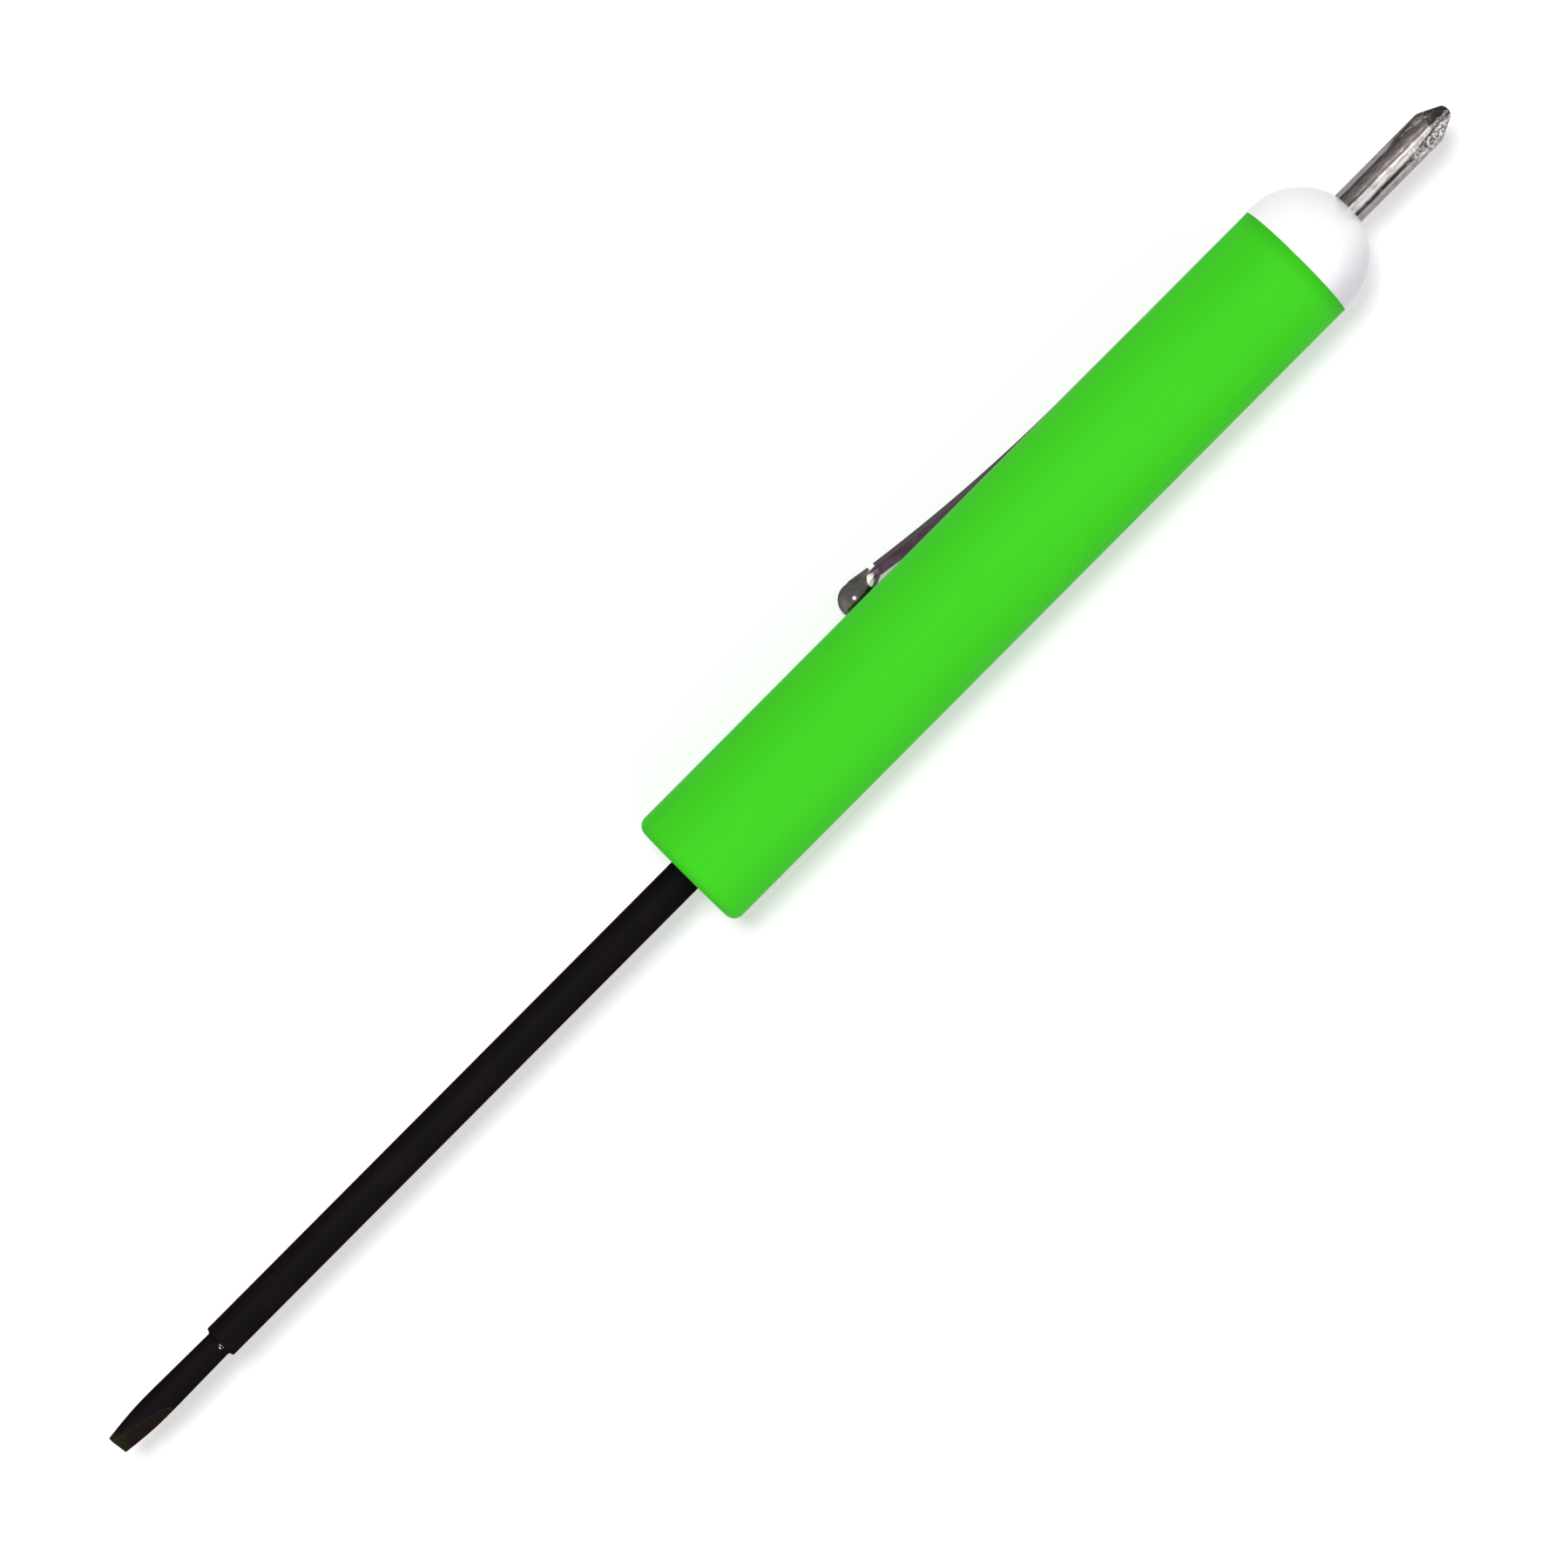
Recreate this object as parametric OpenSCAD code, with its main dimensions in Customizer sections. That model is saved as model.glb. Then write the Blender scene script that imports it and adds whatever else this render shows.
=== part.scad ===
// Pocket screwdriver: a moulded barrel with a fixed flat blade in its nose, and a domed cap that
// carries a fixed cross-point blade and traps the root of a spring clip. Millimetres.
// The tool lies at rest on its barrel and on the ball of its clip. +X runs along the axis towards
// the cap, +Z is up, and the origin is the centre of the barrel's nose face.

/* [Barrel] */
// Outside diameter of the barrel
barrel_d = 11.1; // [10.6:0.1:13]
// Length of the barrel from its nose face to the rim under the cap
barrel_len = 69.5; // [62:0.1:90]
// Rounding of the nose edge
nose_round = 0.95; // [0.3:0.05:1.5]
// Length of the solid nose that grips the long blade
nose_solid = 33; // [31:0.5:38]
// Thickness of the barrel's wall round the hollow behind the nose
barrel_wall = 1.55; // [1.4:0.05:1.8]
// Chamfer inside the rim that leads the plug in
rim_chamfer = 0.3; // [0.1:0.05:0.5]

/* [End cap] */
// How far the cap stands proud of the barrel all round
cap_proud = 0.05; // [0.01:0.01:0.2]
// Straight band between the rim and the dome
cap_land = 0.6; // [0.3:0.1:2]
// Width of the dome's flat round the short blade
dome_flat = 0.1; // [0.05:0.01:0.3]
// Length of the plug inside the barrel
plug_len = 12; // [10:0.5:20]
// Chamfer at the plug's inner end
plug_chamfer = 0.5; // [0.2:0.1:1]
// Width of the key that stops the cap turning in the barrel
key_w = 1.2; // [0.8:0.1:2]
// Height of the key above the plug
key_rise = 0.5; // [0.3:0.05:0.7]
// Length of the key from the rim
key_len = 6; // [3:0.5:9]

/* [Flat blade] */
// Diameter of the long shank
shank_d = 3; // [2.8:0.1:3.4]
// Length of the shank from the nose face to its shoulder
shank_out = 53; // [40:0.1:80]
// Length of the turned-down neck from the shoulder to the tip
neck_len = 11.7; // [9:0.1:16]
// Neck diameter at the shoulder
neck_root_d = 2.25; // [2:0.05:2.35]
// Neck diameter where the grinding starts, which is also the width of the tip
neck_tip_d = 2.4; // [2.1:0.05:2.7]
// Fillet between the neck and the shoulder
neck_fillet = 0.25; // [0.05:0.05:0.3]
// Thickness of the flat tip
tip_t = 0.5; // [0.4:0.05:0.8]
// Length of the two ground faces
tip_ground = 5.3; // [4:0.1:8]
// Turn of the tip about the axis, away from lying flat
tip_turn = 54.8; // [0:0.1:90]
// Diameter of the tang inside the barrel's nose
shank_tang_d = 2.6; // [2.2:0.05:2.65]
// Length of the tang inside the barrel's nose
shank_tang_len = 30; // [20:0.5:30.5]

/* [Cross-point blade] */
// Diameter of the short blade
cross_d = 3; // [2.8:0.1:3.4]
// Length of the short blade outside the dome
cross_out = 11.35; // [9:0.05:16]
// Diameter of its blunt point
cross_point_d = 1.2; // [0.9:0.05:1.5]
// Height of the crown on the blunt point
cross_crown = 0.25; // [0.1:0.05:0.4]
// Diameter of the flat on that crown
cross_flat_d = 0.5; // [0.3:0.05:0.8]
// Half angle of the tapered point
cross_taper = 26.5; // [24:0.5:30]
// Distance of the flute floors from the axis at the point
flute_core = 0.38; // [0.3:0.02:0.5]
// Angle between the two walls of a flute
flute_open = 92; // [90:1:94]
// Slope at which the flute floors run out on the shank
flute_rise = 10.5; // [9:0.5:14]
// Turn of the cross point about the axis
cross_turn = 35; // [0:1:89]
// Diameter of the tang inside the cap
cross_tang_d = 2.6; // [2.2:0.05:2.65]
// Length of the tang inside the cap
cross_tang_len = 14; // [10:0.5:15]

/* [Tang ears] */
// How far the swaged ears stand out of a tang
ear_rise = 0.4; // [0.2:0.05:0.6]
// Thickness of an ear
ear_t = 0.8; // [0.5:0.05:1]
// Length of an ear
ear_len = 3; // [2:0.1:4]
// Plain end of a tang beyond its ears
ear_inset = 1.2; // [0.6:0.1:2]

/* [Pocket clip] */
// Thickness of the spring strip
clip_t = 0.45; // [0.35:0.01:0.5]
// Depth of the arm's outer face below the top of the ball
arm_sunk = 0.05; // [0.02:0.01:0.1]
// Width of the arm at its root
arm_root_w = 2.7; // [2.3:0.1:3.2]
// Width of the arm at its neck beside the ball
arm_neck_w = 1.4; // [1.2:0.1:2]
// Distance from the rim to the centre of the ball
ball_reach = 44.1; // [36:0.1:50]
// Diameter of the ball
ball_d = 3; // [2.6:0.1:3.6]
// Gap between the ball and the barrel
ball_gap = 0.1; // [0.05:0.01:0.3]
// Radius of the dimple struck in the ball's outer side
dimple_r = 1.1; // [0.8:0.1:1.4]
// Depth of that dimple
dimple_depth = 0.4; // [0.2:0.05:0.5]
// Length of the web that runs from the ball into the arm
web_len = 2.8; // [2.4:0.1:4]
// Diameter of the web at the middle of the ball
web_root_d = 2.6; // [2:0.1:2.8]
// Diameter of the web's thin end
web_end_d = 0.8; // [0.4:0.1:1]
// Length of the straight part of the arm
arm_straight = 20; // [14:0.5:24]
// Slope of the straight part away from the barrel
arm_slope = 0.8; // [0.5:0.1:1.2]
// Inside radius of the bend at the rim
bend_inner_r = 0.25; // [0.2:0.01:0.35]
// Depth of the clip's seat in the barrel at the rim
seat_depth = 0.3; // [0.2:0.05:0.4]
// Width of the tang that goes through the rim's notch
clip_tang_w = 1.5; // [1.2:0.1:1.8]
// Width of the head that keeps the tang in the barrel
head_w = 2.5; // [2.2:0.1:3]
// Height of that head
head_h = 0.7; // [0.5:0.1:1]
// Angle through which the clip springs open
clip_flex = 5; // [3:0.5:6]

/* [Fits] */
// Clearance round the clip where it moves in the barrel and the cap
clip_gap = 0.1; // [0.08:0.01:0.12]
// Gap left in the solids between pieces that are moulded or pressed together
fit_gap = 0.01; // [0.01:0.01:0.03]
// Side clearance of the cap's key in its slot
key_gap = 0.05; // [0.02:0.01:0.1]

/* [Hidden] */
$fn = 96;
// Overrun of every cut past the surface it opens
overrun = 0.5;
barrel_r = barrel_d / 2;
hollow_r = barrel_r - barrel_wall;
cap_r = barrel_r + cap_proud;
ball_r = ball_d / 2;
cross_r = cross_d / 2;

// The dome ends in a small flat on which the short blade's shoulder seats
dome_centre = barrel_len + cap_land;
cross_seat = dome_centre + sqrt(pow(cap_r, 2) - pow(cross_r + dome_flat, 2));

// The ball's place, and the tilt at which barrel and ball both touch the table
ball_from_axis = barrel_r + ball_gap + ball_r;
clip_down = asin((barrel_r - ball_r) / ball_from_axis);

// Side view of the clip's middle line. Places are [distance from the rim, distance from the axis]
seat_floor = barrel_r - seat_depth;
bend_r = bend_inner_r + clip_t / 2;
bend_centre = [clip_gap + clip_t + bend_inner_r, seat_floor + clip_gap - bend_inner_r];
ball_centre = [ball_reach, ball_from_axis];
function heading_of(angle) = [cos(angle), sin(angle)];
function left_of(angle) = [-sin(angle), cos(angle)];
bend_end = bend_centre + bend_r * left_of(arm_slope);
bow_start = bend_end + arm_straight * heading_of(arm_slope);

// The arm bows outwards on an arc that ends tangent on top of the ball
ball_over = ball_r - clip_t / 2 - arm_sunk;
bow_chord = bow_start - ball_centre;
bow_r = (bow_chord * bow_chord - pow(ball_over, 2))
    / (2 * (ball_over - bow_chord * left_of(arm_slope)));
bow_centre = bow_start + bow_r * left_of(arm_slope);
bow_end_angle = atan2(ball_centre[0] - bow_centre[0], bow_centre[1] - ball_centre[1]);

// The tang's head is as high in the hollow as its corners allow
head_top = sqrt(pow(hollow_r - clip_gap, 2) - pow(head_w / 2, 2));
tang_end = head_top - head_h;
tang_drop = bend_centre[1] - tang_end;
tang_swing = tang_drop * sin(clip_flex);
notch_depth = clip_gap + clip_t + tang_swing + clip_gap;
pocket_floor = tang_end - 2 * clip_gap;

bow_end = bow_centre - bow_r * left_of(bow_end_angle);

// Turns a shape from the Z axis to the tool's axis
module along_x() {
    rotate([0, 90, 0]) children();
}

// A round bar or cone on the tool's axis between two places
module bar(from, to, d_from, d_to) {
    translate([from, 0, 0]) along_x() cylinder(h = to - from, d1 = d_from, d2 = d_to);
}

// Turns a shape built with the clip straight up to where the clip points
module on_clip_side() {
    rotate([-(90 + clip_down), 0, 0]) children();
}

// A plate across the tool's axis, from a side view given in places along X and distances from it
module side_plate(width) {
    rotate([90, 0, 0]) linear_extrude(height = width, center = true) children();
}

// The same, from a side view given in distances from the rim and from the axis
module rim_plate(width) {
    translate([barrel_len, 0, 0]) mirror([1, 0, 0]) side_plate(width) children();
}

// A block in that view, between two distances from the rim and two from the axis
module rim_block(rim_near, rim_far, low, high, width) {
    rim_plate(width) translate([rim_near, low]) square([rim_far - rim_near, high - low]);
}

// A tang that runs along +X from just behind the origin, with two swaged ears near its end
module tang(d, length, margin) {
    bar(-overrun, length + margin, d + 2 * margin, d + 2 * margin);
    ear_from = length - ear_inset - ear_len;
    translate([ear_from - margin, -(d / 2 + ear_rise + margin), -(ear_t / 2 + margin)])
        cube([ear_len + 2 * margin, d + 2 * (ear_rise + margin), ear_t + 2 * margin]);
}

module blade_tang(margin) {
    tang(shank_tang_d, shank_tang_len, margin);
}

module cross_tang(margin) {
    translate([cross_seat, 0, 0]) mirror([1, 0, 0]) tang(cross_tang_d, cross_tang_len, margin);
}

// The key on the cap's plug, opposite the clip, and with a clearance the slot that it fits
module cap_key(clearance, run_out) {
    on_clip_side()
        rim_block(-run_out, key_len + clearance, -(hollow_r + key_rise + clearance), -key_w,
            key_w + 2 * clearance);
}

module barrel() {
    color("limegreen") difference() {
        along_x() rotate_extrude() {
            square([barrel_r - nose_round, barrel_len]);
            translate([0, nose_round]) square([barrel_r, barrel_len - nose_round]);
            translate([barrel_r - nose_round, nose_round]) circle(r = nose_round);
        }
        bar(nose_solid, barrel_len + overrun, 2 * hollow_r, 2 * hollow_r);
        bar(barrel_len - rim_chamfer, barrel_len + overrun, 2 * hollow_r,
            2 * (hollow_r + rim_chamfer + overrun));
        blade_tang(fit_gap);
        cap_key(key_gap, overrun);
        on_clip_side() {
            clip_seat();
            rim_block(-overrun, notch_depth, 0, barrel_r + overrun, clip_tang_w + 2 * clip_gap);
        }
    }
}

// The seat slopes with the arm, and runs out where the arm has left the barrel
module clip_seat() {
    seat_run = bend_end[0] + seat_depth / tan(arm_slope);
    floor_at_rim = seat_floor - (bend_end[0] + overrun) * tan(arm_slope);
    rim_plate(arm_root_w + 2 * clip_gap)
        polygon([[-overrun, floor_at_rim], [seat_run, barrel_r], [-overrun, barrel_r + overrun]]);
}

module end_cap() {
    plug_r = hollow_r - fit_gap;
    plug_end = barrel_len - plug_len;
    color("white") difference() {
        union() {
            along_x() rotate_extrude() {
                intersection() {
                    translate([0, dome_centre]) circle(r = cap_r);
                    translate([0, dome_centre]) square([cap_r, cross_seat - dome_centre]);
                }
                translate([0, barrel_len]) square([cap_r, cap_land]);
                polygon([
                    [0, plug_end], [plug_r - plug_chamfer, plug_end],
                    [plug_r, plug_end + plug_chamfer], [plug_r, barrel_len], [0, barrel_len]
                ]);
            }
            cap_key(0, 0);
        }
        cross_tang(fit_gap);
        on_clip_side()
            rim_block(0, notch_depth, pocket_floor, hollow_r + overrun, head_w + 2 * clip_gap);
    }
}

module flat_blade() {
    shank_r = shank_d / 2;
    root_r = neck_root_d / 2;
    end_r = neck_tip_d / 2;
    tip_x = shank_out + neck_len;
    grind_x = tip_x - tip_ground;
    grind_rise = overrun * (end_r - tip_t / 2) / tip_ground;
    color([0.1, 0.09, 0.1]) difference() {
        union() {
            blade_tang(0);
            along_x() rotate_extrude() {
                polygon([
                    [0, 0], [shank_r, 0], [shank_r, -shank_out], [root_r, -shank_out],
                    [end_r, -grind_x], [end_r, -tip_x], [0, -tip_x]
                ]);
                translate([0, -shank_out - neck_fillet]) difference() {
                    square([root_r + neck_fillet, 2 * neck_fillet]);
                    translate([root_r + neck_fillet, 0]) circle(r = neck_fillet);
                }
            }
        }
        for (side = [0, 180])
            rotate([tip_turn + side, 0, 0])
                side_plate(2 * shank_d) polygon([
                    [-tip_x - overrun, tip_t / 2 - grind_rise],
                    [-grind_x + overrun, end_r + grind_rise],
                    [-grind_x + overrun, shank_d], [-tip_x - overrun, shank_d]
                ]);
    }
}

module phillips_blade() {
    point_r = cross_point_d / 2;
    tip_x = cross_seat + cross_out;
    crown_x = tip_x - cross_crown;
    taper_x = crown_x - (cross_r - point_r) / tan(cross_taper);
    color("silver") difference() {
        union() {
            cross_tang(0);
            along_x() rotate_extrude() polygon([
                [0, cross_seat], [cross_r, cross_seat], [cross_r, taper_x],
                [point_r, crown_x], [cross_flat_d / 2, tip_x], [0, tip_x]
            ]);
        }
        for (quarter = [0 : 3])
            rotate([cross_turn + 90 * quarter, 0, 0]) flute(tip_x);
    }
}

// One V-shaped flute above the axis, whose floor rises from the point until it leaves the shank
module flute(tip_x) {
    run = (cross_r - flute_core) / sin(flute_rise) + overrun;
    half_w = cross_d * tan(flute_open / 2);
    translate([tip_x, 0, flute_core]) rotate([0, flute_rise - 90, 0])
        translate([0, 0, -overrun]) linear_extrude(height = run + overrun)
            polygon([[0, 0], [cross_d, half_w], [cross_d, -half_w]]);
}

// A length of strip bent about a centre, between two directions from it that are given as angles
module bent_strip(centre, r, from, to) {
    reach = 2 * r + clip_t;
    translate(centre) intersection() {
        difference() {
            circle(r = r + clip_t / 2, $fn = 720);
            circle(r = r - clip_t / 2, $fn = 720);
        }
        polygon([
            [0, 0], reach * heading_of(from),
            reach * (heading_of(from) + heading_of(to)), reach * heading_of(to)
        ]);
    }
}

// Side view of the strip: up the tang, round the bend, along the arm and out the bow
module strip_side() {
    half = clip_t / 2 * left_of(arm_slope);
    translate([clip_gap, tang_end]) square([clip_t, tang_drop]);
    bent_strip(bend_centre, bend_r, arm_slope + 90, 180);
    polygon([bend_end - half, bow_start - half, bow_start + half, bend_end + half]);
    bent_strip(bow_centre, bow_r, arm_slope - 90, bow_end_angle - 90);
}

// Plan of the arm: narrow through the notch, then wide, then tapering to the neck
module arm_plan() {
    shoulder = bend_centre[0];
    widened = shoulder + (arm_root_w - clip_tang_w) / 2;
    neck = ball_reach - web_len;
    widths = [
        [0, clip_tang_w], [shoulder, clip_tang_w], [widened, arm_root_w],
        [neck, arm_neck_w], [ball_reach + ball_r, arm_neck_w]
    ];
    linear_extrude(height = barrel_d + ball_d) polygon(concat(
        [for (p = widths) [barrel_len - p[0], p[1] / 2]],
        [for (i = [len(widths) - 1 : -1 : 0]) [barrel_len - widths[i][0], -widths[i][1] / 2]]
    ));
}

module pocket_clip() {
    out = left_of(bow_end_angle);
    dimple_centre = ball_centre + (ball_r + dimple_r - dimple_depth) * out;
    web_dir = bow_end - web_len * heading_of(bow_end_angle) - ball_centre;
    web_angle = atan2(web_dir[1], -web_dir[0]);
    color("gainsboro") on_clip_side() {
        rim_block(clip_gap, clip_gap + clip_t, tang_end, head_top, head_w);
        difference() {
            union() {
                intersection() {
                    rim_plate(arm_root_w) strip_side();
                    arm_plan();
                }
                translate([barrel_len - ball_centre[0], 0, ball_centre[1]]) {
                    sphere(r = ball_r);
                    rotate([0, 90 - web_angle, 0])
                        cylinder(h = norm(web_dir), d1 = web_root_d, d2 = web_end_d);
                }
            }
            translate([barrel_len - dimple_centre[0], 0, dimple_centre[1]]) sphere(r = dimple_r);
        }
    }
}

barrel();
end_cap();
flat_blade();
phillips_blade();
pocket_clip();
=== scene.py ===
import math
import bpy
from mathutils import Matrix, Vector


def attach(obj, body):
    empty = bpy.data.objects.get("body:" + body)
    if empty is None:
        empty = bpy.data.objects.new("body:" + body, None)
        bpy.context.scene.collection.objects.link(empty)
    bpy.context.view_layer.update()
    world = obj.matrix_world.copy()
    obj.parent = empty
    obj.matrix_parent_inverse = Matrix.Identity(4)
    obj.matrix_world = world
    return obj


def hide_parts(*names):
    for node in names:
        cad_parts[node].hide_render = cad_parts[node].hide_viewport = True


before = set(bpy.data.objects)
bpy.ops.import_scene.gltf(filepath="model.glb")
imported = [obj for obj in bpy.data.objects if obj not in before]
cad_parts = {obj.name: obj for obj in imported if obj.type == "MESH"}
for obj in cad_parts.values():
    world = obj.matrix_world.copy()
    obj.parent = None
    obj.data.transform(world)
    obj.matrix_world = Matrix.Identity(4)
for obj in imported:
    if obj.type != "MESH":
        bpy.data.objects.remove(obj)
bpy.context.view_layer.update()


# Barrel: one round moulding of green plastic, only lightly handled. It keeps its CAD mesh.
# Its solid nose is moulded over the long blade, and its hollow takes the plug of the end cap.
# Sizes are in millimetres, and MM makes them metres. Places along the tool start at the barrel's nose.
MM = 0.001
RIM = 69.5
# Where the painted shade under the end cap's lip starts and ends, back from the rim
RIM_SHADE = (-1.6, 0.1)


class Wire:
    """A node's output. Arithmetic on it adds Math nodes."""

    def __init__(self, nodes, socket):
        self.nodes = nodes
        self.socket = socket

    def __add__(self, other):
        return self.nodes.maths("ADD", self, other)

    def __radd__(self, other):
        return self.nodes.maths("ADD", other, self)

    def __sub__(self, other):
        return self.nodes.maths("SUBTRACT", self, other)

    def __rsub__(self, other):
        return self.nodes.maths("SUBTRACT", other, self)

    def __mul__(self, other):
        return self.nodes.maths("MULTIPLY", self, other)

    def __rmul__(self, other):
        return self.nodes.maths("MULTIPLY", other, self)

    def __truediv__(self, other):
        return self.nodes.maths("DIVIDE", self, other)

    def __rtruediv__(self, other):
        return self.nodes.maths("DIVIDE", other, self)

    def __abs__(self):
        return self.nodes.maths("ABSOLUTE", self, 0)


class Nodes:
    """A node tree, to which node() adds every node."""

    def __init__(self, tree):
        self.tree = tree

    def node(self, kind, settings, inputs, output=0):
        """Adds a node with its settings and its sockets' values or wires, and gives one output."""
        made = self.tree.nodes.new(kind)
        for key, value in settings.items():
            if key == "stops":
                ramp = made.color_ramp
                while len(ramp.elements) < len(value):
                    ramp.elements.new(1)
                for element, (place, colour) in zip(ramp.elements, value):
                    element.position = place
                    element.color = colour
            else:
                setattr(made, key, value)
        for key, value in inputs.items():
            if isinstance(value, Wire):
                self.tree.links.new(value.socket, made.inputs[key])
            else:
                made.inputs[key].default_value = value
        return Wire(self, made.outputs[output])

    def maths(self, operation, first, second):
        return self.node("ShaderNodeMath", {"operation": operation}, {0: first, 1: second})


class Finish(Nodes):
    """A material with one Principled shader. Places and distances in it are in millimetres."""

    def __init__(self, name, **constants):
        self.material = bpy.data.materials.new(name)
        self.material.use_nodes = True
        super().__init__(self.material.node_tree)
        self.shader = next(node for node in self.tree.nodes if node.type == "BSDF_PRINCIPLED")
        for socket, value in constants.items():
            self.shader.inputs[socket.replace("_", " ")].default_value = value
        self.place = self.node("ShaderNodeTexCoord", {}, {}, "Object")

    def axes(self):
        """The three Object coordinates: along the tool, across it and up."""
        split = self.node("ShaderNodeSeparateXYZ", {}, {"Vector": self.place})
        return [Wire(self, output) / MM for output in split.socket.node.outputs]

    def distance(self, spot):
        """Distance from a spot."""
        spot = [value * MM for value in spot]
        kind = {"operation": "DISTANCE"}
        return self.node("ShaderNodeVectorMath", kind, {0: self.place, 1: spot}, "Value") / MM

    def from_axis(self):
        """Distance from the tool's axis."""
        vector = "ShaderNodeVectorMath"
        flat = self.node(vector, {"operation": "MULTIPLY"}, {0: self.place, 1: (0, 1, 1)})
        return self.node(vector, {"operation": "LENGTH"}, {0: flat}, "Value") / MM

    def noise(self, along, across, detail=4):
        """Noise with so many steps per metre along the tool's axis and across it."""
        stretched = self.node(
            "ShaderNodeMapping", {}, {"Vector": self.place, "Scale": (along, across, across)}
        )
        return self.node(
            "ShaderNodeTexNoise", {},
            {"Vector": stretched, "Scale": 1, "Detail": detail, "Roughness": 0.55},
        )

    def ramp(self, value, low, high, at_low=0, at_high=1):
        """Maps low..high smoothly to at_low..at_high, and holds the ends."""
        return self.node(
            "ShaderNodeMapRange", {"interpolation_type": "SMOOTHSTEP"},
            {"Value": value, "From Min": low, "From Max": high, "To Min": at_low, "To Max": at_high},
        )

    def tint(self, mask, first, second):
        """The first colour where the mask is 0 and the second where it is 1."""
        return self.node(
            "ShaderNodeMix", {"data_type": "RGBA"}, {"Factor": mask, "A": first, "B": second}, 2
        )

    def bump(self, height, depth, strength):
        return self.node(
            "ShaderNodeBump", {}, {"Height": height, "Distance": depth * MM, "Strength": strength}
        )

    def feed(self, **wires):
        for socket, wire in wires.items():
            self.tree.links.new(wire.socket, self.shader.inputs[socket.replace("_", " ")])


def ink(red, green, blue):
    """A colour as a screen shows it, 0 to 255, in the shader's linear terms."""
    def linear(level):
        level /= 255
        return level / 12.92 if level <= 0.04045 else ((level + 0.055) / 1.055) ** 2.4
    return (linear(red), linear(green), linear(blue), 1)


def wear(piece, finish):
    """Gives a piece the finish in its one material slot."""
    piece.data.materials.clear()
    piece.data.materials.append(finish.material)


GREEN_SKIN = ink(66, 208, 38)
GREEN_FLOW = ink(62, 203, 35)
GREEN_SCUFF = ink(85, 214, 58)
GREEN_SEAM_SHADE = ink(56, 182, 31)

green = Finish("green_moulding", Specular_IOR_Level=0.05, Specular_Tint=(0.3, 0.8, 0.25, 1))
flow = green.ramp(green.noise(28, 160, 3), 0.35, 0.7)
scuffs = green.ramp(green.noise(160, 2600, 5), 0.66, 0.8)
# Painted shade: the green darkens towards the rim, under the end cap's lip
rim_shade = green.ramp(green.axes()[0] - RIM, *RIM_SHADE)
orange_peel = green.noise(900, 900, 2)
skin = green.tint(flow * 0.5, GREEN_SKIN, GREEN_FLOW)
skin = green.tint(scuffs * 0.16, skin, GREEN_SCUFF)
green.feed(
    Base_Color=green.tint(rim_shade * 0.8, skin, GREEN_SEAM_SHADE),
    Roughness=green.ramp(green.noise(300, 900), 0.3, 0.75, 0.5, 0.62) + scuffs * 0.12,
    Normal=green.bump(orange_peel - scuffs * 0.4, 0.012, 0.5),
)
wear(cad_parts["barrel"], green)


# End cap: a moulding of glossy white plastic, a near half-ball with a plug that is pressed into the
# barrel. It is moulded over the tang of the short blade, and it traps the clip's root. It keeps its
# CAD mesh.
SHADED_SIDE = (-1.2, -5)
WHITE_SKIN = ink(254, 254, 255)
WHITE_AGED = ink(249, 249, 249)
LILAC_SHADE = ink(206, 205, 215)

white = Finish("white_moulding", IOR=1.5, Coat_Roughness=0.06)
cloud = white.ramp(white.noise(180, 180, 3), 0.38, 0.72)
rubs = white.ramp(white.noise(900, 2600, 5), 0.64, 0.8)
# Painted shade: the dome turns lilac-grey towards its -Y side, away from the lamp
shaded_side = white.ramp(white.axes()[1], *SHADED_SIDE)
orange_peel = white.noise(700, 700, 2)
skin = white.tint(cloud * 0.6 + rubs * 0.25, WHITE_SKIN, WHITE_AGED)
white.feed(
    Base_Color=white.tint(shaded_side * 0.9, skin, LILAC_SHADE),
    Roughness=white.ramp(cloud, 0, 1, 0.16, 0.24) + rubs * 0.14,
    Normal=white.bump(orange_peel - rubs * 0.5, 0.008, 0.5),
)
wear(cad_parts["end_cap"], white)


# Long blade: a black-oxide steel rod, turned down to a neck and ground on both sides to a flat tip.
# Its swaged tang is moulded into the barrel's nose, so it can neither turn nor pull out.
SIDES = 96
MERGE_WITHIN = 0.001
SMOOTH_ANGLE = math.radians(32)
SHANK_R = 1.5
SHOULDER = -53.0
NECK_ROOT_R = 1.125
NECK_TIP_R = 1.2
TIP = -64.7
TIP_HALF_T = 0.25
GROUND = 5.3
TIP_TURN = math.radians(54.8)
WHEEL_HALF_W = 3
WHEEL_OVERRUN = 1
TANG_R = 1.3
TANG_END = 30
TANG_CHAMFER = 0.15
EAR_LENGTH = 3
EAR_INSET = 1.2
EAR_R = 1.7
EAR_HALF_T = 0.4
BLADE_EDGE = 0.035
# Steps of (place, radius) from the shoulder's edge on the shank, and from its root on the neck
SHOULDER_ROUND = [(0.12, 0), (0.04, -0.03), (0, -0.1)]
NECK_FILLET = [(0, 0.25), (-0.04, 0.14), (-0.12, 0.04), (-0.25, 0)]


def only(piece):
    """Selects one piece and makes it the active one."""
    bpy.ops.object.select_all(action="DESELECT")
    piece.select_set(True)
    bpy.context.view_layer.objects.active = piece


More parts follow.
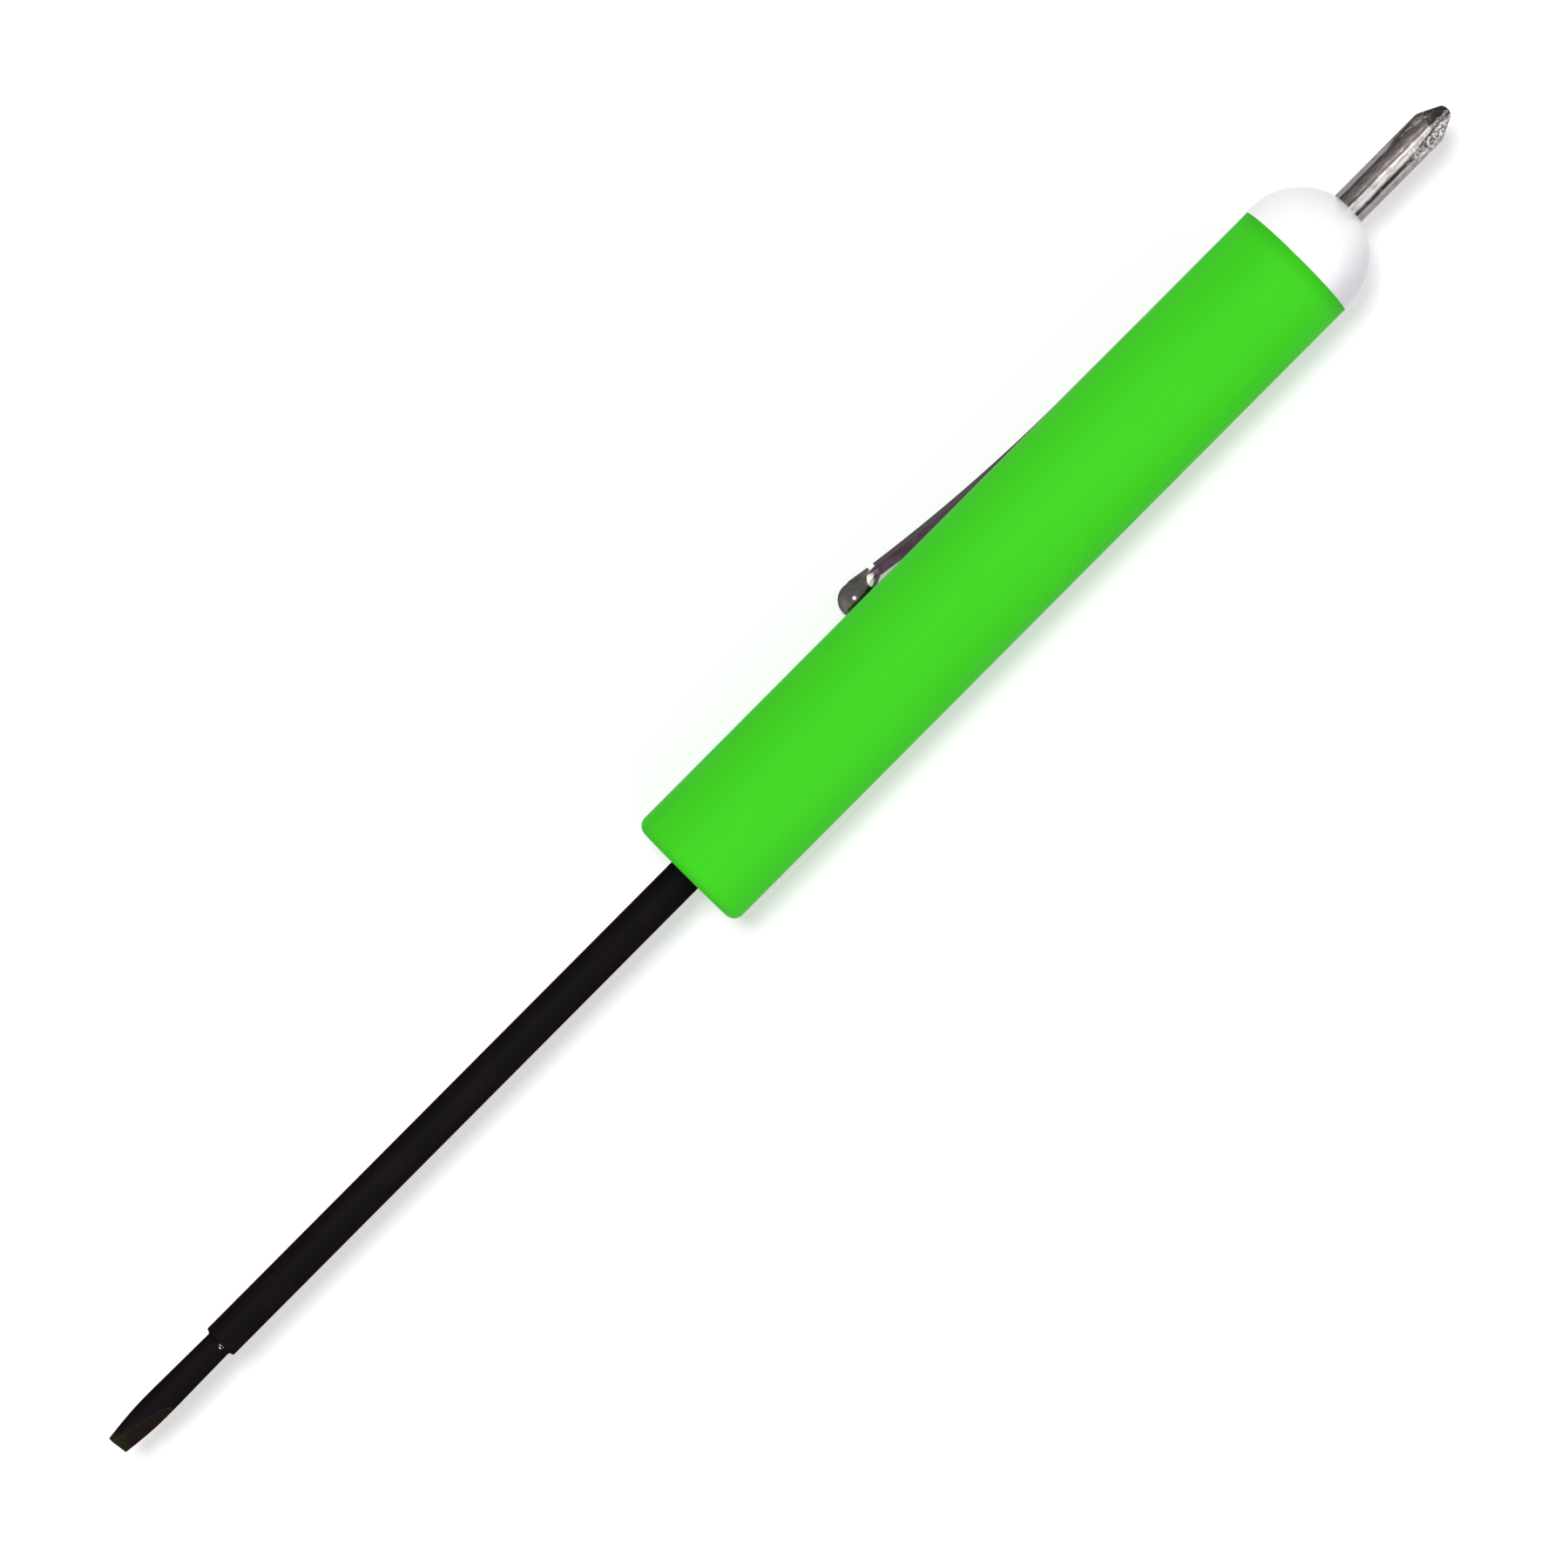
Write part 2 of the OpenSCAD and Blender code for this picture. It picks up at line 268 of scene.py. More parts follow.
def turned(name, stations):
    """Lathe work: a disc drawn out along X through stations of (place, radius)."""
    bpy.ops.object.select_all(action="DESELECT")
    place, radius = stations[0]
    bpy.ops.mesh.primitive_circle_add(
        vertices=SIDES, radius=radius * MM, fill_type="NGON",
        location=(place * MM, 0, 0), rotation=(0, math.pi / 2, 0),
    )
    piece = bpy.context.object
    piece.name = name
    bpy.ops.object.transform_apply(location=True, rotation=True, scale=True)
    bpy.ops.object.mode_set(mode="EDIT")
    bpy.ops.mesh.select_all(action="SELECT")
    for next_place, next_radius in stations[1:]:
        bpy.ops.mesh.extrude_region_move(
            TRANSFORM_OT_translate={"value": ((next_place - place) * MM, 0, 0)}
        )
        growth = next_radius / radius
        bpy.ops.transform.resize(value=(1, growth, growth), center_override=(next_place * MM, 0, 0))
        place, radius = next_place, next_radius
    bpy.ops.mesh.select_all(action="SELECT")
    bpy.ops.mesh.normals_make_consistent(inside=False)
    bpy.ops.object.mode_set(mode="OBJECT")
    return piece


def block(name, low, high):
    """A block between two corners, as stock for an ear or a cutter."""
    bpy.ops.object.select_all(action="DESELECT")
    middle = [(a + b) / 2 * MM for a, b in zip(low, high)]
    bpy.ops.mesh.primitive_cube_add(size=1, location=middle)
    piece = bpy.context.object
    piece.name = name
    piece.scale = [(b - a) * MM for a, b in zip(low, high)]
    bpy.ops.object.transform_apply(location=True, rotation=True, scale=True)
    return piece


def place_at(piece, turn=(0, 0, 0), spot=(0, 0, 0)):
    """Turns a piece about the origin, moves it to a spot, and applies both to its mesh."""
    only(piece)
    piece.rotation_euler = turn
    piece.location = [value * MM for value in spot]
    bpy.ops.object.transform_apply(location=True, rotation=True, scale=True)


def modify(piece, kind, **settings):
    only(piece)
    modifier = piece.modifiers.new(kind.lower(), kind)
    for key, value in settings.items():
        setattr(modifier, key, value)
    bpy.ops.object.modifier_apply(modifier=modifier.name)


def carve(piece, other, operation):
    """Cuts another solid out of a piece, or welds it on, and uses that solid up."""
    modify(piece, "BOOLEAN", operation=operation, object=other, solver="EXACT")
    bpy.data.objects.remove(other)


def weld_ear(piece, start):
    """The swaged ear that keys a tang in its moulding."""
    low = (start, -EAR_R, -EAR_HALF_T)
    high = (start + EAR_LENGTH, EAR_R, EAR_HALF_T)
    carve(piece, block("ear", low, high), "UNION")


def soften(piece, width, angle, segments):
    """Rounds the edges that are sharper than an angle in degrees, and smooths the rest."""
    modify(
        piece, "BEVEL", width=width * MM, segments=segments, limit_method="ANGLE",
        angle_limit=math.radians(angle), use_clamp_overlap=True, harden_normals=False,
    )
    bpy.ops.object.shade_smooth_by_angle(angle=SMOOTH_ANGLE)


def fit(piece, node, body, finish):
    """Merges points that lie on each other, and puts the finished piece in its CAD node's place."""
    only(piece)
    bpy.ops.object.mode_set(mode="EDIT")
    bpy.ops.mesh.select_all(action="SELECT")
    bpy.ops.mesh.remove_doubles(threshold=MERGE_WITHIN * MM)
    bpy.ops.object.mode_set(mode="OBJECT")
    wear(piece, finish)
    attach(piece, body)
    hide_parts(node)


blade = turned("long_blade", [
    (TANG_END, TANG_R - TANG_CHAMFER), (TANG_END - TANG_CHAMFER, TANG_R), (0, TANG_R), (0, SHANK_R),
    *[(SHOULDER + ahead, SHANK_R + out) for ahead, out in SHOULDER_ROUND],
    *[(SHOULDER + ahead, NECK_ROOT_R + out) for ahead, out in NECK_FILLET],
    (TIP + GROUND, NECK_TIP_R), (TIP, NECK_TIP_R),
])
weld_ear(blade, TANG_END - EAR_INSET - EAR_LENGTH)
slope = (NECK_TIP_R - TIP_HALF_T) / GROUND
for side in (0, math.pi):
    wheel = block(
        "wheel", (0, -WHEEL_HALF_W, 0), (GROUND + 2 * WHEEL_OVERRUN, WHEEL_HALF_W, WHEEL_HALF_W)
    )
    place_at(
        wheel, turn=(0, -math.atan(slope), 0),
        spot=(TIP - WHEEL_OVERRUN, 0, TIP_HALF_T - slope * WHEEL_OVERRUN),
    )
    place_at(wheel, turn=(TIP_TURN + side, 0, 0))
    carve(blade, wheel, "DIFFERENCE")
soften(blade, BLADE_EDGE, angle=20, segments=2)

# A painted highlight: a small bright glint on the shoulder's edge
GLINT_SPOT = (SHOULDER - 0.08, -0.28, 1.15)
# Each pair says where a mask is 0 and where it is full
GLINT_REACH = (0.3, 0.2)
BARE_END = (1.1, 0.2)
GROUND_END = (GROUND + 0.15, GROUND - 0.1)
GROUND_SKIN = (-0.06, -0.01)
OXIDE = ink(21, 19, 22)
OXIDE_BROWN = ink(40, 30, 29)
OXIDE_RUB = ink(56, 51, 51)
STONED_LIGHT = ink(35, 35, 33)
STONED_DARK = ink(24, 24, 24)
TIP_OLIVE = ink(43, 47, 34)
GLINT_BRIGHT = ink(225, 222, 220)

black = Finish("black_oxide", Metallic=1, Specular_Tint=(0.55, 0.4, 0.3, 1))
along, across, up = black.axes()
face_height = up * math.cos(TIP_TURN) - across * math.sin(TIP_TURN)
from_tip = along - TIP
wedge = from_tip * slope + TIP_HALF_T
ground = black.ramp(abs(face_height) - wedge, *GROUND_SKIN)
ground = ground * black.ramp(from_tip, *GROUND_END)
bare = black.ramp(from_tip, *BARE_END)
patina = black.ramp(black.noise(220, 900, 5), 0.5, 0.75)
drawn = black.ramp(black.noise(70, 5200), 0.68, 0.82)
stone = black.noise(9000, 400, 3)
# Painted highlight: a speckled bright glint at the shoulder
painted_glint = black.ramp(black.distance(GLINT_SPOT), *GLINT_REACH)
painted_glint = painted_glint * black.ramp(black.noise(4200, 4200, 2), 0.5, 0.56)
skin = black.tint(patina * 0.4, OXIDE, OXIDE_BROWN)
skin = black.tint(drawn * 0.2, skin, OXIDE_RUB)
stoned = black.tint(black.ramp(stone, 0.3, 0.7), STONED_DARK, STONED_LIGHT)
skin = black.tint(ground, skin, stoned)
skin = black.tint(bare * 0.6, skin, TIP_OLIVE)
black.feed(
    Base_Color=black.tint(painted_glint, skin, GLINT_BRIGHT),
    Roughness=black.ramp(patina, 0, 1, 0.7, 0.78) - ground * 0.16,
    Normal=black.bump(drawn * 0.4 + patina * 0.3 + stone * ground, 0.012, 0.6),
)
fit(blade, "flat_blade", "handle", black)


# Short blade: a plated steel rod with four milled flutes that leave the wings of a cross-point.
# Its swaged tang is moulded into the end cap, and its shoulder seats on the flat of the dome.
CROSS_R = 1.5
CROSS_SEAT = 75.4666
CROSS_TIP = 86.816
CROSS_TANG_END = 61.4666
CROWN = 0.25
CROWN_BULGE = 0.06
POINT_R = 0.6
CROWN_FLAT_R = 0.25
TAPER = math.radians(26.5)
# Steps of (place, radius) that round the corner where the taper starts
TAPER_ROUND = [(-0.2, 0), (0, -0.02), (0.2, -0.11)]
FLUTE_CORE = 0.38
FLUTE_ROOT_HALF_W = 0.03
FLUTE_DEPTH = 2
FLUTE_LENGTH = 8
FLUTE_PAST_TIP = 0.5
FLUTE_HALF = math.radians(46)
FLUTE_RISE = math.radians(10.5)
CROSS_TURN = math.radians(35)
CROSS_EDGE = 0.04

taper_start = CROSS_TIP - CROWN - (CROSS_R - POINT_R) / math.tan(TAPER)
cross = turned("cross_blade", [
    (CROSS_TANG_END, TANG_R - TANG_CHAMFER), (CROSS_TANG_END + TANG_CHAMFER, TANG_R),
    (CROSS_SEAT, TANG_R), (CROSS_SEAT, CROSS_R),
    *[(taper_start + ahead, CROSS_R + out) for ahead, out in TAPER_ROUND],
    (CROSS_TIP - CROWN, POINT_R),
    (CROSS_TIP - CROWN / 2, (POINT_R + CROWN_FLAT_R) / 2 + CROWN_BULGE), (CROSS_TIP, CROWN_FLAT_R),
])
weld_ear(cross, CROSS_TANG_END + EAR_INSET)
for quarter in range(4):
    cutter = block(
        "cutter", (-FLUTE_PAST_TIP, -FLUTE_DEPTH, 0), (FLUTE_LENGTH, FLUTE_DEPTH, FLUTE_DEPTH)
    )
    for vertex in cutter.data.vertices:
        at_root = vertex.co.z < FLUTE_DEPTH / 2 * MM
        half_width = FLUTE_ROOT_HALF_W if at_root else FLUTE_DEPTH * math.tan(FLUTE_HALF)
        vertex.co.y = math.copysign(half_width * MM, vertex.co.y)
    place_at(cutter, turn=(0, -FLUTE_RISE, math.pi), spot=(CROSS_TIP, 0, FLUTE_CORE))
    place_at(cutter, turn=(CROSS_TURN + quarter * math.pi / 2, 0, 0))
    carve(cross, cutter, "DIFFERENCE")
soften(cross, CROSS_EDGE, angle=20, segments=2)

EDGE_GREY = ink(152, 147, 147)
BAND_BRIGHT = ink(182, 177, 177)
BAND_DULL = ink(93, 88, 88)
LINE_DARK = ink(32, 27, 27)
FLUTE_DARK = ink(58, 52, 50)
FLUTE_LIGHT = ink(142, 135, 132)
FLUTE_BRIGHT = ink(214, 210, 207)
PIT_DARK = ink(46, 40, 38)
PIT_LIGHT = ink(228, 224, 220)
# Where each mask is 0 and where it is full, back from the tip
LIT_SIDE = (2.4, 1.6)
LIT_WING = (5.2, 4)
SHADED_CREST = (6, 4.5)
SHADED_TIP = (2.2, 1.2)
WORN_WING = (6.5, 3.2)
WORN_TIP = (2.6, 1)
# Painted reflections run the length of the rod, as bright and dark bands across it: (distance across
# from its middle line, colour)
REFLECTION_BANDS = [
    (-1.05, EDGE_GREY), (-0.9, LINE_DARK), (-0.74, LINE_DARK), (-0.5, BAND_BRIGHT),
    (-0.08, BAND_BRIGHT), (0.1, LINE_DARK), (0.5, BAND_DULL), (0.88, BAND_DULL),
    (1.03, LINE_DARK), (1.18, EDGE_GREY),
]

nickel = Finish("worn_nickel", Metallic=1, Specular_Tint=(0.7, 0.66, 0.64, 1))
along, across, up = nickel.axes()
from_tip = CROSS_TIP - along
wander = (nickel.noise(420, 900, 1) - 0.5) * 0.14
# Painted reflections: the bands are set by the distance across the rod
reflection_bands = nickel.node(
    "ShaderNodeValToRGB",
    {"stops": [((place + CROSS_R) / (2 * CROSS_R), colour) for place, colour in REFLECTION_BANDS]},
    {"Fac": (across + CROSS_R + wander) / (2 * CROSS_R)},
)
streaks = nickel.ramp(nickel.noise(60, 5200), 0.5, 0.72)
mottle = nickel.noise(1300, 5200, 3)
grain = nickel.ramp(mottle, 0.5, 0.6)
bright_grain = nickel.ramp(mottle, 0.46, 0.36)
skin = nickel.tint(streaks * 0.2 + grain * 0.36, reflection_bands, FLUTE_DARK)
skin = nickel.tint(bright_grain * 0.2, skin, FLUTE_LIGHT)

# The milled walls of the flutes, toned dark and light at random, with a painted highlight on the lit
# side near the point and painted shade along their edges
cone = nickel.maths("MAXIMUM", along - taper_start, 0) * math.tan(TAPER)
under_skin = CROSS_R - cone - nickel.from_axis()
milled = nickel.ramp(under_skin, 0.03, 0.08)
flute_edge_shade = nickel.ramp(under_skin, 0.02, 0.05) * nickel.ramp(under_skin, 0.2, 0.12)
cuts = nickel.tint(nickel.ramp(nickel.noise(1500, 3800), 0.42, 0.6), FLUTE_DARK, FLUTE_LIGHT)
lit_side = nickel.ramp(from_tip, *LIT_SIDE) * nickel.ramp(across, -0.3, -0.6)
cuts = nickel.tint(lit_side * 0.75, cuts, FLUTE_BRIGHT)
skin = nickel.tint(milled * 0.85, skin, cuts)
skin = nickel.tint(flute_edge_shade * 0.7, skin, PIT_DARK)

# The wings: one has a painted highlight, and the far crest and the point have painted shade
lit_wing = nickel.ramp(from_tip, *LIT_WING) * nickel.ramp(across, -0.35, -0.6)
skin = nickel.tint(lit_wing * 0.32, skin, FLUTE_BRIGHT)
shaded_crest = nickel.ramp(from_tip, *SHADED_CREST) * nickel.ramp(across + cone, 0.95, 1.25)
skin = nickel.tint(shaded_crest * 0.6, skin, PIT_DARK)
shaded_tip = nickel.ramp(from_tip, *SHADED_TIP) * nickel.ramp(across, -0.1, 0.25)
skin = nickel.tint(shaded_tip * 0.6, skin, PIT_DARK)

# Pits and glints where screws have worn the plating
worn = nickel.ramp(from_tip, *WORN_WING) * nickel.ramp(across, 0.1, -0.9)
worn = nickel.maths("MAXIMUM", worn, nickel.ramp(from_tip, *WORN_TIP) * 0.7)
speckle = nickel.noise(3900, 5000, 3)
pits = nickel.ramp(speckle, 0.47, 0.54) * worn * nickel.ramp(across, -1.35, -0.85, 0.6, 1)
glints = nickel.ramp(speckle, 0.45, 0.36) * worn * (1 - shaded_tip)
skin = nickel.tint(pits * 0.88, skin, PIT_DARK)
nickel.feed(
    Base_Color=nickel.tint(glints * 0.6, skin, PIT_LIGHT),
    Roughness=nickel.ramp(streaks, 0, 1, 0.36, 0.46) + pits * 0.1,
    Normal=nickel.bump(streaks * 0.3 - pits, 0.015, 0.6),
)
fit(cross, "phillips_blade", "handle", nickel)


# Pocket clip: one strip of bright spring steel with a solid ball formed on its free end.
# Its bent root passes through a notch in the barrel's rim, where a wider head keeps it under the cap.
CLIP_T = 0.45
CLIP_GAP = 0.1
BARREL_R = 5.55
HOLLOW_R = 4.0
SEAT_DEPTH = 0.3
BEND_INNER = 0.25
SLOPE = math.radians(0.8)
STRAIGHT = 20
BALL_R = 1.5
BALL_REACH = 44.1
BALL_GAP = 0.1
ARM_SUNK = 0.05
HEAD_W = 2.5
HEAD_H = 0.7
HEAD_STEP = 0.02
CLIP_TANG_W = 1.5
ARM_ROOT_W = 2.7
ARM_NECK_W = 1.4
WEB = 2.8
WEB_ROOT_R = 1.3
WEB_END_R = 0.4
WEB_SHARPNESS = 10
POLE_R = 0.04
DIMPLE_R = 1.1
DIMPLE_DEPTH = 0.4
BEND_STEPS = 12
STRAIGHT_STEPS = 6
BOW_STEPS = 24
BALL_STEPS = 20
WEB_STEPS = 12
CLIP_EDGE = 0.07
CLIP_SMOOTH_ANGLE = math.radians(38)
# Steps of (distance past the arm's shoulder, share of the widening) that round the shoulder
SHOULDER_GROWTH = [(-0.3, 0.5), (-0.1, 0.85), (0, 0.96), (0.15, 1)]


def heading(angle):
    return Vector((math.cos(angle), math.sin(angle)))


def left(angle):
    return Vector((-math.sin(angle), math.cos(angle)))


# The strip's middle line is worked out in the plane of (distance from the rim, distance from the axis)
ball_out = BARREL_R + BALL_GAP + BALL_R
clip_down = math.asin((BARREL_R - BALL_R) / ball_out)
bend_r = BEND_INNER + CLIP_T / 2
bend_centre = Vector((
    CLIP_GAP + CLIP_T + BEND_INNER,
    BARREL_R - SEAT_DEPTH + CLIP_GAP - BEND_INNER,
))
ball = Vector((BALL_REACH, ball_out))
arm_line = bend_centre + bend_r * left(SLOPE)
bow_start = arm_line + STRAIGHT * heading(SLOPE)
over = BALL_R - CLIP_T / 2 - ARM_SUNK
chord = bow_start - ball
bow_r = (chord.dot(chord) - over**2) / (2 * (over - chord.dot(left(SLOPE))))
bow_centre = bow_start + bow_r * left(SLOPE)
bow_end = math.atan2(ball.x - bow_centre.x, bow_centre.y - ball.y)
head_top = math.sqrt((HOLLOW_R - CLIP_GAP) ** 2 - (HEAD_W / 2) ** 2)
tang_s = CLIP_GAP + CLIP_T / 2
shoulder = bend_centre.x + (ARM_ROOT_W - CLIP_TANG_W) / 2
neck_s = BALL_REACH - WEB
narrowing = (ARM_ROOT_W - ARM_NECK_W) / (neck_s - shoulder)


def arm_width(s):
    return ARM_ROOT_W - narrowing * min(max(s - shoulder, 0), neck_s - shoulder)


# Stations of the strip: (distance from the rim, distance from the axis, width)
stations = [
    (tang_s, head_top - HEAD_H, HEAD_W), (tang_s, head_top, HEAD_W),
    (tang_s, head_top + HEAD_STEP, CLIP_TANG_W), (tang_s, bend_centre.y, CLIP_TANG_W),
]
for step in range(1, BEND_STEPS + 1):
    angle = math.pi / 2 + (SLOPE - math.pi / 2) * step / BEND_STEPS
    spot = bend_centre + bend_r * left(angle)
    stations.append((spot.x, spot.y, CLIP_TANG_W))
for past, share in SHOULDER_GROWTH:
    s = shoulder + past
    spot = arm_line + (s - arm_line.x) / math.cos(SLOPE) * heading(SLOPE)
    stations.append((spot.x, spot.y, CLIP_TANG_W + (arm_width(s) - CLIP_TANG_W) * share))
for step in range(1, STRAIGHT_STEPS + 1):
    spot = arm_line + STRAIGHT * step / STRAIGHT_STEPS * heading(SLOPE)
    stations.append((spot.x, spot.y, arm_width(spot.x)))
for step in range(1, BOW_STEPS + 1):
    angle = SLOPE + (bow_end - SLOPE) * step / BOW_STEPS
    spot = bow_centre - bow_r * left(angle)
    stations.append((spot.x, spot.y, arm_width(spot.x)))

# A square as wide as the head loses all but one edge, which is drawn out through the stations. The
# sheet so made is then thickened.
s, out, width = stations[0]
bpy.ops.object.select_all(action="DESELECT")
bpy.ops.mesh.primitive_plane_add(size=width * MM)
clip = bpy.context.object
clip.name = "spring_clip"
bpy.ops.object.mode_set(mode="EDIT")
bpy.ops.mesh.select_all(action="DESELECT")
bpy.ops.object.mode_set(mode="OBJECT")
for vertex in clip.data.vertices:
    vertex.select = vertex.co.x > 0
place_at(clip, spot=(RIM - s + width / 2, 0, out))
bpy.ops.object.mode_set(mode="EDIT")
bpy.ops.mesh.delete(type="VERT")
bpy.ops.mesh.select_all(action="SELECT")
for next_s, next_out, next_width in stations[1:]:
    bpy.ops.mesh.extrude_region_move(
        TRANSFORM_OT_translate={"value": ((s - next_s) * MM, 0, (next_out - out) * MM)}
    )
    bpy.ops.transform.resize(value=(1, next_width / width, 1), center_override=(0, 0, 0))
    s, out, width = next_s, next_out, next_width
bpy.ops.object.mode_set(mode="OBJECT")
modify(clip, "SOLIDIFY", thickness=CLIP_T * MM, offset=0, use_even_offset=True)
bpy.ops.object.mode_set(mode="EDIT")
bpy.ops.mesh.select_all(action="SELECT")
bpy.ops.mesh.normals_make_consistent(inside=False)
bpy.ops.object.mode_set(mode="OBJECT")
soften(clip, CLIP_EDGE, angle=40, segments=3)


def smooth_greater(first, second):
    """The greater of two radii, with a fillet where they cross."""
    grown = math.exp(WEB_SHARPNESS * first) + math.exp(WEB_SHARPNESS * second)
    return math.log(grown) / WEB_SHARPNESS


# The ball and the web that runs from it into the arm are one turned shape along the web's line
web = bow_centre - bow_r * left(bow_end) - WEB * heading(bow_end) - ball
swell = smooth_greater(BALL_R, WEB_ROOT_R) - BALL_R
ball_stations = []
for step in range(BALL_STEPS + 1):
    angle = math.pi / 2 * step / BALL_STEPS
    ball_stations.append((-BALL_R * math.cos(angle), max(BALL_R * math.sin(angle), POLE_R)))
for step in range(1, WEB_STEPS + 1):
    share = step / WEB_STEPS
    ahead = share * web.length
    round_r = math.sqrt(max(BALL_R**2 - ahead**2, POLE_R**2))
    web_r = WEB_ROOT_R + (WEB_END_R - WEB_ROOT_R) * share
    ball_stations.append((ahead, smooth_greater(round_r, web_r) - swell * max(0, 1 - ahead)))
knob = turned("knob", ball_stations)
place_at(knob, turn=(0, -math.atan2(web.y, -web.x), 0), spot=(RIM - ball.x, 0, ball.y))
bpy.ops.object.shade_smooth()
carve(clip, knob, "UNION")
dimple = ball + (BALL_R + DIMPLE_R - DIMPLE_DEPTH) * left(bow_end)
bpy.ops.object.select_all(action="DESELECT")
bpy.ops.mesh.primitive_uv_sphere_add(segments=64, ring_count=32, radius=DIMPLE_R * MM)
punch = bpy.context.object
place_at(punch, spot=(RIM - dimple.x, 0, dimple.y))
carve(clip, punch, "DIFFERENCE")
place_at(clip, turn=(-(math.pi / 2 + clip_down), 0, 0))
bpy.ops.object.shade_smooth_by_angle(angle=CLIP_SMOOTH_ANGLE)

# Each pair says where a mask is 0 and where it is full
ARM_FINISH = (2.3, 2.8)
LIP_ALONG = (26.9, 27.1)
LIP_ACROSS = (6.15, 5.95)
EDGE_BAND = (-0.09, -0.05)
OUTER_FACE = (-0.05, 0.1)
# Painted highlights where the ball's web meets the strip: a bright oval and a small glint
HIGHLIGHT_ALONG = 27.46
HIGHLIGHT_ACROSS = 6.3
HIGHLIGHT_NARROWNESS = 0.42
HIGHLIGHT_OVAL = (1.15, 0.85)
HIGHLIGHT_UP = (-3.9, -3.6)
GLINT_ALONG = 2.75
GLINT_HALF_W = (0.34, 0.2)
GLINT_ACROSS = (6.7, 6.85)
STEEL = ink(80, 79, 77)
STEEL_WARM = ink(112, 106, 98)
STRIP_SIDE = ink(66, 61, 64)
STRIP_FACE = ink(150, 100, 146)
STRIP_FACE_DARK = ink(118, 74, 116)
STRIP_OUTSIDE = ink(128, 124, 127)
BURNISH_AND_HIGHLIGHT = ink(250, 250, 250)

spring = Finish("spring_steel", Specular_Tint=(0.5, 0.48, 0.48, 1))
along, across, up = spring.axes()
from_rim = RIM - along
from_ball = BALL_REACH - from_rim

# The strip's finish starts past the ball's web, with a lip of it on the side nearer the barrel
lip = spring.ramp(across, *LIP_ACROSS) * spring.ramp(along, *LIP_ALONG)
arm = spring.maths("MAXIMUM", spring.ramp(from_ball, *ARM_FINISH), lip)
rolled = spring.noise(120, 5200)
haze = spring.noise(500, 500, 3)

# The strip's inner face is purple-grey, its outer face is plain, and its edges are dark
width_way = across * math.sin(clip_down) + up * math.cos(clip_down)
half_width = ((shoulder - from_rim) * narrowing + ARM_ROOT_W) * 0.5
edge = spring.ramp(abs(width_way) - half_width, *EDGE_BAND)
bowed = spring.maths("MAXIMUM", from_rim - bow_start.x, 0)
middle = (from_rim - arm_line.x) * math.tan(SLOPE) + arm_line.y + bowed * bowed / (2 * bow_r)
off_axis = across * math.cos(clip_down) - up * math.sin(clip_down)
outside = spring.ramp(off_axis - middle, *OUTER_FACE)
face = spring.tint(spring.ramp(haze, 0.35, 0.65), STRIP_FACE_DARK, STRIP_FACE)
face = spring.tint(outside, face, STRIP_OUTSIDE)
strip = spring.tint(edge * 0.9, face, STRIP_SIDE)

# Painted highlights: a bright oval and a bright glint where the ball's web meets the strip
lengthwise = along - HIGHLIGHT_ALONG + across - HIGHLIGHT_ACROSS
crosswise = (along - HIGHLIGHT_ALONG - across + HIGHLIGHT_ACROSS) / HIGHLIGHT_NARROWNESS
neck_highlight = spring.ramp(lengthwise * lengthwise + crosswise * crosswise, *HIGHLIGHT_OVAL)
neck_highlight = neck_highlight * spring.ramp(up, *HIGHLIGHT_UP)
painted_glint = spring.ramp(abs(from_ball - GLINT_ALONG), *GLINT_HALF_W) * spring.ramp(across, *GLINT_ACROSS)
painted_highlights = spring.maths("MAXIMUM", neck_highlight, painted_glint)
knob_skin = spring.tint(spring.ramp(haze, 0.4, 0.66), STEEL, STEEL_WARM)
skin = spring.tint(arm, knob_skin, strip)
# Bright burnished streaks along the rolled strip, in the same colour as the painted highlights
skin = spring.tint(spring.ramp(rolled, 0.6, 0.75) * 0.15, skin, BURNISH_AND_HIGHLIGHT)
spring.feed(
    Base_Color=spring.tint(painted_highlights, skin, BURNISH_AND_HIGHLIGHT),
    Metallic=1 - arm * (1 - outside) * 0.75,
    Roughness=spring.ramp(rolled, 0.3, 0.7, 0.14, 0.24) + arm * 0.24,
    Normal=spring.bump(rolled * arm + haze * 0.4, 0.006, 0.5),
)
fit(clip, "pocket_clip", "clip", spring)


# Stage: a plain white table just under the tool, white light all round and one broad soft lamp.
# The lamp stands up and to the photograph's left, so that the soft shadow falls to the lower right.
# The table and the world look white to the camera and in the metal, and light the tool with less.
# The table is a little under the tool's lowest point, so that the clip still shows when it springs out
TABLE_Z = -6.2
TABLE_SPAN = 6000
TABLE_PAPER = (0.68, 0.68, 0.68, 1)
TABLE_GLOW = 0.385
WORLD_LEVEL = 0.34
LAMP_LEVEL = 2.0
LAMP_SPREAD = math.radians(18.1)
LAMP_LEAN = math.radians(14.1)
FILL_LEVEL = 0.85
FILL_SPREAD = math.radians(60)
FILL_LEAN = math.radians(55)


